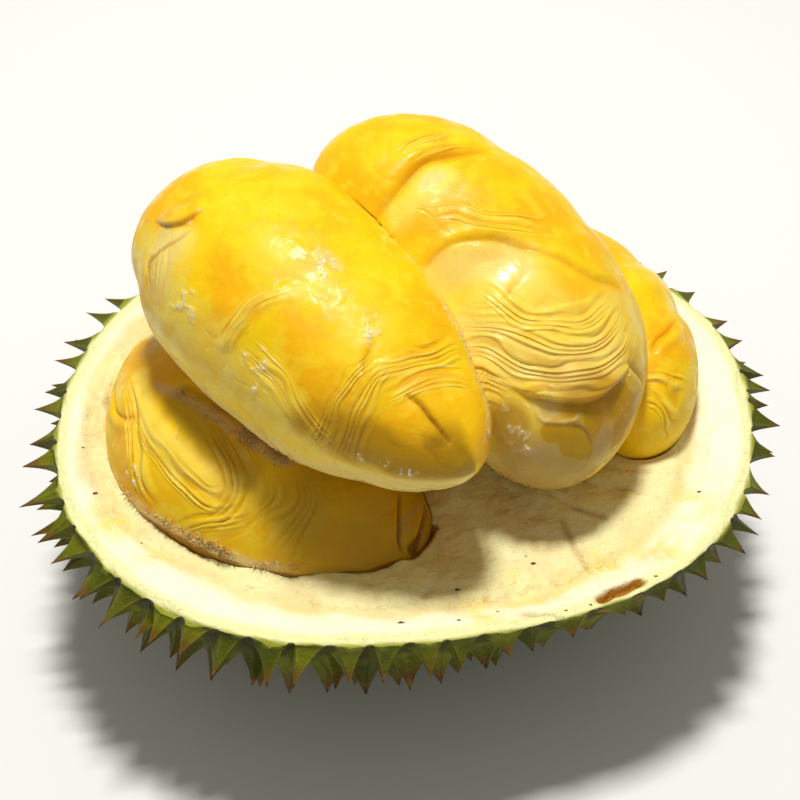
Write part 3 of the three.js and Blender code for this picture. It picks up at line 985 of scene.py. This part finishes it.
    def band(self, stain, path, width, strength):
        """A stain along a path."""
        self.stain(stain, strength * self.near(path, width))

    def patch(self, at, size):
        """A share for a patch at a place, uneven at its edge. Its size is in millimetres along and degrees
        round."""
        out = np.hypot((self.along - at[0]) / size[0], (self.round - at[1]) / size[1])
        return 1 - ease(0.5, 1.2, out + 0.3 * lumps(self.base, 7, 34))

    def specks(self, at, size, thick):
        """White specks and threads of skin stuck on in a patch, and painted glints on wet skin."""
        ragged = lumps(self.base, 2.2, 35) + 0.5 * lumps(self.base, 1.1, 36)
        share = self.patch(at, size) * ease(0.1, 0.5, ragged)
        self.height += thick * share
        self.stain("white", share)

    def threads(self, share, length, stain="fringe"):
        """Torn threads of skin that stand out and up at this share of the points, in tufts."""
        self.salt += 1
        tufts = share * ease(-0.5, 0.6, lumps(self.base, 5, 38))
        picked = chance(np.arange(len(self.base)), self.salt) < tufts
        self.torn.append((np.flatnonzero(picked), length, stain))

    def soften(self):
        """Broad unevenness, small dimples, and thin slack creases that wander about in patches, stained with
        painted shade.
        """
        salt = self.salt
        self.height += 0.9 * lumps(self.base, 26, salt) + 0.4 * lumps(self.base, 11, salt + 1)
        self.height += 0.1 * lumps(self.base, 4, salt + 2)
        for size, deep in ((16, 0.2), (9, 0.1)):
            shifts = [lumps(self.base, 1.3 * size, salt + 3 + axis) for axis in range(3)]
            slack = lumps(self.base + 0.5 * size * np.stack(shifts, axis=-1), size, salt + 6)
            dip = np.exp(-np.abs(slack) / 0.08) * ease(0, 0.6, lumps(self.base, 19, salt + 7))
            self.height -= deep * dip
            # painted shade in the slack creases
            self.stain("crease", 0.3 * dip)

    def slack(self, count):
        """Pleats at random on the side that faces down and away, like those on the side that shows."""
        for k in range(count):
            along = mixed(-0.36, 0.36, chance(k, self.salt)) * self.pod["length"]
            if k % 2:
                turn = mixed(-70, 30, chance(k, self.salt + 1))
            else:
                turn = mixed(190, 250, chance(k, self.salt + 2))
            drift = mixed(-12, 12, chance(k, self.salt + 3))
            path = [(along, turn - 25), (along + drift, turn), (along + 0.5 * drift, turn + 25)]
            self.pleats(path, (12, 16), 5, 0.8)

    def make(self, finish, rests_on=()):
        """Makes the piece, with its torn threads. Where it would sink into a pod that it rests on, it takes
        that pod's shape."""
        piece = mesh_object(self.name, self.base, self.faces)
        normals = normals_of(piece)
        points = self.base + normals * self.height[:, None]
        for name in rests_on:
            points = clear_of(PODS[name], points)
        values = dict(self.stains)
        for index, layer in enumerate(self.layers):
            values |= dict(zip((f"across_{index}", f"down_{index}", f"share_{index}"), layer))
        faces, parts, stained = list(self.faces), [points], []
        for picked, length, stain in self.torn:
            first = sum(map(len, parts)) + 4 * np.arange(len(picked))[:, None, None]
            faces += (first + SPIKE_FACES).reshape(-1, 3).tolist()
            parts.append(spikes(points[picked], normals[picked], length))
            stained += [stain] * 4 * len(picked)
        for name, value in values.items():
            values[name] = np.append(value, [stain == name for stain in stained])
        bpy.data.objects.remove(piece)
        piece = mesh_object(self.name, np.concatenate(parts), faces)
        paint(piece, **values)
        piece.data.shade_smooth()
        piece.data.materials.append(finish)
        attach(piece, "root")
        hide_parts(self.name)


def flesh_finish(name, lap):
    """Glossy gold flesh, paler where its skin is thick, and orange in the creases as painted shade. Each
    pleat of a bundle rises from one whole number across, and drops to a thin crease over the last share of
    the way to the next, the lap; its crest is stained lighter as a painted highlight and its crease darker as
    painted shade. Each fades in and out down its length, and finer strands run along it. Elsewhere thin
    wrinkles wander where one noise, warped by another, is near 0.5, darkened a little as painted shade."""
    soft = dict(Subsurface_Weight=0.3, Subsurface_Scale=0.004, Subsurface_Radius=(1.0, 0.7, 0.2))
    finish = Finish(name, Specular_IOR_Level=0.28, **soft)
    clouds, patches, film = finish.grain(22, 3), finish.grain(6, 3), finish.grain(2.2, 3)
    torn = finish.grain(13, 4, distortion=0.6)
    lines, laps, painted_crest_highlight, strands = 0.0, 0.0, 0.0, 0.5
    for index in range(FOLD_LAYERS):
        across, down, share = (finish.painted(f"{part}_{index}") for part in ("across", "down", "share"))
        pleat = finish.maths("FLOOR", across)
        within = across - pleat
        strip = finish.vector(pleat * 3.7, down * 0.07, index)
        alive = finish.between(0.34, 0.6, finish.grain(COUNTED, 1, strip)) * share
        drop = finish.between(1.0, 1.0 - lap, within)
        lines = lines + finish.between(0.2, 0.02, within) * alive
        laps = laps + within**2 * drop * alive
        painted_crest_highlight = painted_crest_highlight + finish.between(0.5, 0.86, within) * drop * alive
        silk = finish.vector(across * 1.9, down * 0.05, index + 5)
        strands = strands + (finish.grain(COUNTED, 3, silk) - 0.5) * share
    wrinkle = 1 - finish.maths("ABSOLUTE", finish.grain(14, 1, distortion=1.5) - 0.5) * 12
    wrinkle = finish.maths("MAXIMUM", wrinkle, 0) * finish.between(0.48, 0.62, finish.grain(17, 1))
    stain = {each: finish.painted(each) for each in STAINS}
    flecks = finish.between(0.5, 0.58, finish.grain(1.3, 3)) * stain["white"]
    colour = finish.coats(
        sketch((252, 188, 0)),
        [
            (finish.between(0.38, 0.6, clouds), (255, 210, 8)),
            (finish.between(0.5, 0.62, patches) * 0.5, (255, 220, 52)),
            (finish.between(0.54, 0.57, torn) * 0.25, (254, 188, 0)),
            (stain["pale"] * (0.5 + finish.between(0.3, 0.6, patches) * 0.5), (250, 220, 88)),
            (finish.between(0.52, 0.68, strands) * 0.5, (254, 228, 104)),
            # painted highlight on each pleat's crest
            (finish.maths("MINIMUM", painted_crest_highlight, 1.0) * 0.3, (254, 230, 110)),
            (stain["cream"] * (0.6 + 0.4 * film), (232, 212, 140)),
            (stain["fringe"] * (0.5 + 0.5 * film), (234, 200, 150)),
            # olive: the flesh's own colour in places, and painted shade where a pod's shadow falls or on an
            # underside
            (stain["olive"] * (0.8 + 0.3 * patches), (172, 130, 0)),
            # painted shade: orange in the creases
            (stain["crease"] * 0.5, (206, 138, 4)),
            (finish.between(0.5, 0.36, strands) * 0.4, (204, 144, 6)),
            # painted shade: the pleats' creases and the wrinkles are darkened
            (finish.maths("MINIMUM", lines + wrinkle * 0.2, 1.0) * 0.3, (184, 122, 6)),
            # brown: the flesh's own in places, elsewhere painted shade in creases, the crevice and hollows
            (stain["brown"], (126, 74, 18)),
            # white threads and flecks of skin, in places painted glints on wet skin
            (stain["white"] * 0.25 + flecks * 0.75, (250, 238, 204)),
        ],
    )
    relief = laps + strands * 0.8 - lines * 0.3 - wrinkle * 0.2 + film * 0.15
    relief = relief + finish.between(0.5, 0.6, torn) * 0.15 + flecks * 0.6
    rough = 0.5 - finish.between(0.42, 0.66, patches) * 0.32
    return finish.dry(colour, rough, finish.bump(relief, 0.5))


skin = Skin("pod_front_left", rows=400, columns=220, crowd_turn=130, salt=200)
skin.soften()
above_pith = skin.base[:, 2] - face_height(skin.base[:, 0], skin.base[:, 1])
sheet = [(-38, 118), (-28, 124), (-17, 128), (-6, 132), (4, 133), (10, 128)]
skin.roll(sheet, 4.0, 1.2)
# painted highlight: the pale band along the sheet is the lit strip beside the top-left pod's shadow
skin.band("pale", sheet, 6, 0.9)
skin.pleats([(-34, 124), (-23, 132), (-12, 137), (-2, 140), (6, 141), (12, 134)], (8, 11), 5, 1.1, 0.8)
skin.pleats([(-13, 103), (0, 112), (8, 119), (13, 129), (14, 143), (10, 157)], (13, 17), 6, 1.3, 0.7)
skin.pleats([(-1, 170), (7, 155), (13, 146), (19, 138)], (8, 10), 4, 1.0, 0.8)
skin.pleats([(-46, 124), (-33, 130), (-24, 142), (-16, 155), (-8, 165)], (8, 12), 4, 1.2, 0.8)
skin.pleats([(18, 104), (26, 120), (28, 138), (26, 156)], (16, 22), 7, 0.4)
skin.crease([(-48, 146), (-40, 147), (-33, 140), (-28, 132)], 0.8, 1.2, 0.6)
# painted shade: the right half is stained olive where the top-left pod's shadow falls on it
skin.stain("olive", 0.75 * ease(12, 32, skin.along + 0.2 * (120 - skin.round)))
skin.specks((-19, 158), (5, 8), 0.25)
near_side = ease(110, 130, skin.round) * ease(250, 215, skin.round)
fringe = near_side * ease(-26, -12, skin.along) * ease(38, 26, skin.along)
reach = 2.0 + 1.2 * lumps(skin.base, 5, 39)
skin.stain("fringe", 0.9 * (0.25 + 0.75 * fringe) * bell(above_pith - 1.2, reach))
# brown where the pod sinks to the pith's face
skin.stain("brown", 0.75 * near_side * ease(0.9, 0.1, above_pith + 0.5 * lumps(skin.base, 3, 40)))
skin.threads(0.6 * fringe * bell(above_pith - 1.6, 1.5), 3.0)
fluff = fringe * bell(above_pith - 2.2, 1.4)
skin.threads(0.8 * fluff, 4.0, "white")
skin.stain("white", 0.9 * fluff)
crevice = [(-30, 112), (-21, 108), (-11, 106.5), (-4, 106), (4, 106.5), (11, 106), (19, 105)]
# painted shade: a brown band in the crevice under the top-left pod
skin.band("brown", [(aside, turn - 5) for aside, turn in crevice[1:]], 2.5, 0.4)
skin.band("fringe", crevice, 2.5, 0.9)
# painted shadow of the top-left pod, stained olive over flesh that is duller there
skin.band("olive", [(-19, 114), (-8, 115), (1, 118), (10, 121)], 8, 0.5)
skin.threads(0.8 * skin.near(crevice[1:], 3.0), 3.0, "white")
curl = [(45, 70), (48.5, 83), (51, 93), (52.6, 101), (54.5, 109)]
skin.crease(curl, 0.4, 1.4, 0.6)
# painted shade: the curl's crease is stained brown
skin.band("brown", curl, 1.0, 0.5)
skin.roll([(46, 40), (50, 55), (53, 74), (54.5, 94)], 1.6, 1.4)
skin.band("cream", [(51.1, 92), (50.6, 80), (50, 68), (49.5, 57)], 1.3, 1.0)
# painted shade: the hole and hollow under the curl are stained dark brown
skin.crease([(49, 36), (52.5, 46), (55, 63), (56, 87)], 0.8, 1.8, 0.0, 1.0)
skin.band("brown", [(54.5, 62), (55.7, 80), (55.7, 96)], 1.6, 0.9)
skin.slack(6)
skin.make(flesh_finish("front_left_flesh", 0.35))


# ---------------------------------------------------------------------------------------------
# The right pod: smooth flesh in its own hollow, mostly hidden under the pod that leans on it.
# ---------------------------------------------------------------------------------------------

skin = Skin("pod_right", rows=280, columns=180, crowd_turn=85, salt=300)
skin.soften()
skin.crease([(34, 94), (32, 84), (31, 70), (28, 54)], 0.9, 1.6, 0.9)
skin.pleats([(40, 124), (43, 104), (46, 80), (46, 50)], (10, 12), 5, 1.0)
skin.slack(6)
skin.make(flesh_finish("right_flesh", 0.35))


# ---------------------------------------------------------------------------------------------
# The top left pod: the ripest, set down on the front left one. Its skin is smooth and shiny on top,
# gathered in fans of fine pleats towards its nose, and torn open in one slit.
# ---------------------------------------------------------------------------------------------

skin = Skin("pod_top_left", rows=450, columns=212, crowd_turn=125, salt=400)
skin.soften()
pale_edge = [(-54, 158), (-48, 141), (-41, 130), (-35, 122), (-32, 132), (-30, 141), (-24, 147), (-16, 147)]
pale_edge += [(-8, 144), (-1, 149), (6, 151), (22, 154), (36, 160), (49, 154), (62, 150)]
skin.side("pale", pale_edge, 5, 0.9)
skin.side("cream", [(-50, 184), (-10, 190), (20, 190), (40, 183), (55, 175), (63, 160)], 2.5, 0.9)
mouth = [(-36, 112), (-36.3, 118), (-37.6, 124), (-40.5, 129.5), (-44, 133), (-49, 136)]
skin.roll([(-36, 108), (-39, 117), (-43, 125), (-50, 131)], 4, 1.0)
# painted shade: the mouth is stained orange and brown under its overhanging lip
skin.ledge(mouth, 0.9, 0.4, 5)
skin.crease(mouth, 0.35, 0.6, 0.2, 0.6)
skin.stain("cream", 0.7 * skin.patch((-39, 137), (5, 10)))
torn_flap = [(-33.5, 123), (-34.4, 130.6), (-36.6, 138.6), (-38.3, 147), (-38.4, 155), (-33, 167)]
skin.band("cream", [(-35, 136), (-34, 146), (-32, 158)], 6, 0.6)
skin.band("pale", [(-33, 136), (-30, 150), (-28, 170)], 9, 1.0)
# painted shade: a little brown in the flap's crease
skin.crease(torn_flap, 0.35, 0.4, 0.3, 0.25)
specks = [((-34, 124), (2.5, 5), 0.4), ((-40, 150), (2.5, 5), 0.2), ((-20, 152), (6, 10), 0.3)]
for at, size, thick in specks:
    skin.specks(at, size, thick)
ridge = [(-5.2, 161), (-1.8, 150), (-1.8, 139), (-1.8, 130), (0.5, 121.6), (5, 109)]
skin.roll(ridge, 1.8, 1.1)
# painted highlight: the ridge's lit top is stained pale
skin.band("pale", ridge, 2.5, 0.6)
skin.pleats(ridge, (9, 8), 3, 0.5)
skin.pleats([(3, 145), (10, 146), (18, 151), (26, 158), (33, 165), (37, 175)], (11, 9), 6, 0.8)
skin.pleats([(36, 184), (37, 167), (37, 151), (36, 135), (34.5, 117), (33, 96)], (20, 12), 11, 1.3, 1.8)
skin.pleats([(35, 124), (36, 108), (38, 90), (39.5, 70), (39.5, 42)], (6, 10), 5, 1.0)
skin.pleats([(41, 122), (42, 108), (44, 90), (46.5, 66), (48, 46)], (6, 10), 5, 1.0)
skin.pleats([(-40, 140), (-36, 152), (-30, 170)], (14, 20), 6, 0.5)
slit = [(43.5, 107.7), (47.8, 105.2), (51.7, 106.7), (55.1, 107.7), (59, 110.3)]
# painted shade: the slit is stained orange and brown in its depth
skin.ledge(slit, 1.2, 0.5, 6)
skin.crease(slit, 0.6, 1.6, 0.0, 0.9)
right_edge = [(8, 38), (16, 34), (24, 37), (33, 38), (41, 30), (48, 33), (54, 30), (60, 36)]
skin.band("white", right_edge, 2.2, 0.6)
skin.threads(0.3 * skin.near(right_edge, 1.6), 1.6, "white")
# the speck at (5, 92) is a painted glint; the others are threads of skin
specks = [((8, 149), (5, 8), 0.25), ((14, 161), (5, 7), 0.25), ((5, 92), (9, 7), 0.15)]
specks += [((27, 97), (4, 9), 0.15), ((38, 160), (3, 5), 0.2), ((50, 168), (9, 6), 0.15)]
for at, size, thick in specks:
    skin.specks(at, size, thick)
# the nose's olive is partly the flesh's own colour and partly painted shade on its underside
olive_patches = np.maximum(0.85 * skin.patch((50, 154), (24, 26)), 0.9 * skin.patch((61, 122), (8, 40)))
for stain in ("cream", "pale"):
    skin.clean(stain, 0.8 * olive_patches)
skin.stain("olive", olive_patches)
skin.crease([(29, 100), (31, 110), (34, 120)], 0.8, 0.7, 0.3)
skin.slack(8)
skin.make(flesh_finish("top_left_flesh", 0.45), ["pod_front_left", "pod_right"])


# ---------------------------------------------------------------------------------------------
# The top right pod: it rests on the right one and leans on the top left one, nose down. A fold
# crosses it at its shoulder, and the skin has slid down in curved pleats over its paler nose, which
# is olive where it is ripest.
# ---------------------------------------------------------------------------------------------

skin = Skin("pod_top_right", rows=455, columns=214, crowd_turn=105, salt=500)
skin.soften()
skin.height += 3.0 * ease(132, 160, skin.round) * bell(skin.along + 8, 30)
fold = [(-9, 138), (-9.5, 118), (-4.5, 103), (0.5, 95), (10, 83), (20, 71), (26, 52)]
skin.side("pale", fold, 2.5, 0.85)
skin.band("cream", [(-4, 126), (1, 110), (6, 97)], 7, 0.45)
skin.clean("pale", 0.85 * skin.patch((16, 76), (10, 15)))
# painted highlight: a pale and cream strip below the shoulder crease
skin.band("pale", [(-26, 126), (-28, 112), (-29, 98)], 6, 0.9)
skin.band("cream", [(-28, 108), (-29, 98)], 3, 0.6)
skin.crease([(-30, 58), (-32, 76), (-35, 95), (-34, 108), (-32, 122), (-29, 146)], 1.4, 2.4, 0.8)
skin.crease(fold[::-1], 0.9, 0.8, 0.6)
skin.pleats([(-22, 118), (-17, 106), (-9, 97), (-3, 84), (1, 66)], (8, 10), 5, 1.0)
skin.pleats([(-40, 106), (-40, 88), (-36, 64)], (9, 11), 5, 0.9)
skin.pleats([(8, 146), (18, 134), (30, 122), (36.5, 108), (39, 90), (37, 68), (32, 46)], (24, 20), 12, 1.3)
skin.pleats([(4, 122), (13, 118), (21, 112), (25, 100), (27, 84), (25, 60)], (8, 8), 4, 0.7)
skin.band("cream", [(14, 140), (30, 124), (38, 106), (40, 84)], 9, 0.35)
skin.pleats([(22, 154), (28, 147), (34, 138)], (14, 10), 6, 1.1)
skin.height -= 1.8 * ease(46, 62, skin.along)
lip = [(44, 56), (48, 76), (48.5, 97), (44.5, 116), (38, 130), (31, 139)]
# the ledge stains its foot orange: painted shade under the lip
skin.ledge(lip, 2.8, 0.8, 9)
skin.clean("pale", skin.patch((54, 95), (11, 45)))
nose = ease(48, 54, skin.along + 0.16 * (skin.round - 120) + 2 * lumps(skin.base, 9, 41))
skin.stain("cream", 0.8 * nose * ease(268, 230, skin.round))
skin.stain("cream", 0.8 * skin.patch((44, 126), (6, 9)))
lobes = [((54, 122), (7, 15)), ((59, 117), (5, 14)), ((53.5, 101), (5, 12)), ((49, 131), (4, 12))]
lobes += [((57, 62), (7, 20)), ((52, 75), (5, 15))]
olive_patches = np.max([skin.patch(*lobe) for lobe in lobes], axis=0)
olive_patches = ease(0.3, 0.75, olive_patches + 0.35 * lumps(skin.base, 5, 42) + 0.2 * lumps(skin.base, 2.5, 43))
for stain in ("cream", "pale"):
    skin.clean(stain, 0.9 * olive_patches)
skin.stain("olive", 0.75 * olive_patches)
seam = [(40, 132), (45, 133.5), (48.5, 124.7), (50.5, 115.5), (50.2, 109)]
skin.roll(seam, 0.6, 0.5)
skin.band("cream", seam, 1.2, 0.9)
lobe = [(50, 118), (51.6, 114), (54.1, 108.8), (57.1, 105.9), (61, 104.5)]
skin.ledge(lobe[::-1], 0.6, 0.4, 3)
skin.band("cream", lobe, 0.8, 0.8)
skin.crease([(44.4, 66), (47.4, 56.3), (50.5, 41), (52.8, 22)], 0.6, 1.4, 0.7)
skin.stain("brown", 0.3 * skin.patch((58, 90), (3, 9)))
skin.stain("brown", 0.6 * skin.patch((41, 151), (10, 18)))
# painted shade: the nose's underside is stained brown
skin.stain("brown", 0.5 * (1 - 0.7 * olive_patches) * skin.patch((59, 140), (22, 110)))
# partly painted glints on the wet nose, partly threads of skin
specks = [((38, 141), (5, 10), 0.25), ((51, 66), (6, 8), 0.25), ((57, 82), (4, 8), 0.25)]
specks += [((45, 152), (5, 9), 0.15)]
for at, size, thick in specks:
    skin.specks(at, size, thick)
skin.slack(8)
skin.make(flesh_finish("top_right_flesh", 0.35), ["pod_front_left", "pod_right", "pod_top_left"])


# ---------------------------------------------------------------------------------------------
# The pale floor, the soft light from high behind with a fill from in front, and the camera.
# ---------------------------------------------------------------------------------------------

FLOOR_HALF_SIDE = 6000.0
LIT_PLACE = Vector((0, 0, 0.07))
corners = FLOOR_HALF_SIDE * np.array([[-1, -1, 0], [1, -1, 0], [1, 1, 0], [-1, 1, 0]])
floor = mesh_object("floor", corners, [[0, 1, 2, 3]])
floor.data.materials.append(
    Finish("floor", Base_Color=sketch((242, 242, 241)), Roughness=0.9).material
)


def area_light(name, place, side, power, colour):
    """A square soft light that faces the middle of the object."""
    lamp = bpy.data.lights.new(name, "AREA")
    lamp.size, lamp.energy, lamp.color = side, power, colour
    made = bpy.data.objects.new(name, lamp)
    made.location = place
    made.rotation_euler = (LIT_PLACE - Vector(place)).to_track_quat("-Z", "Y").to_euler()
    bpy.context.scene.collection.objects.link(made)


area_light("key", (-0.03, 0.22, 1.35), 0.2, 17, (1.0, 0.985, 0.95))
area_light("fill", (0.3, -1.5, 1.0), 1.2, 0.6, (1.0, 0.98, 0.94))

world = bpy.data.worlds.new("studio")
bpy.context.scene.world = world
world.use_nodes = True
world.node_tree.nodes["Background"].inputs["Color"].default_value = (1.0, 0.96, 0.86, 1.0)
world.node_tree.nodes["Background"].inputs["Strength"].default_value = 0.24
bpy.context.scene.view_settings.view_transform = "Standard"

CAMERA_PLACE = Vector((-0.0003, -0.3795, 0.4766))
CAMERA_TARGET = Vector((-0.0003, 0.0024, 0.067))
lens = bpy.data.cameras.new("camera")
lens.lens, lens.sensor_width = 81.3, 36.0
lens.clip_start, lens.clip_end = 0.01, 50.0
camera = bpy.data.objects.new("camera", lens)
camera.location = CAMERA_PLACE
camera.rotation_euler = (CAMERA_TARGET - CAMERA_PLACE).to_track_quat("-Z", "Y").to_euler()
bpy.context.scene.collection.objects.link(camera)
bpy.context.scene.camera = camera
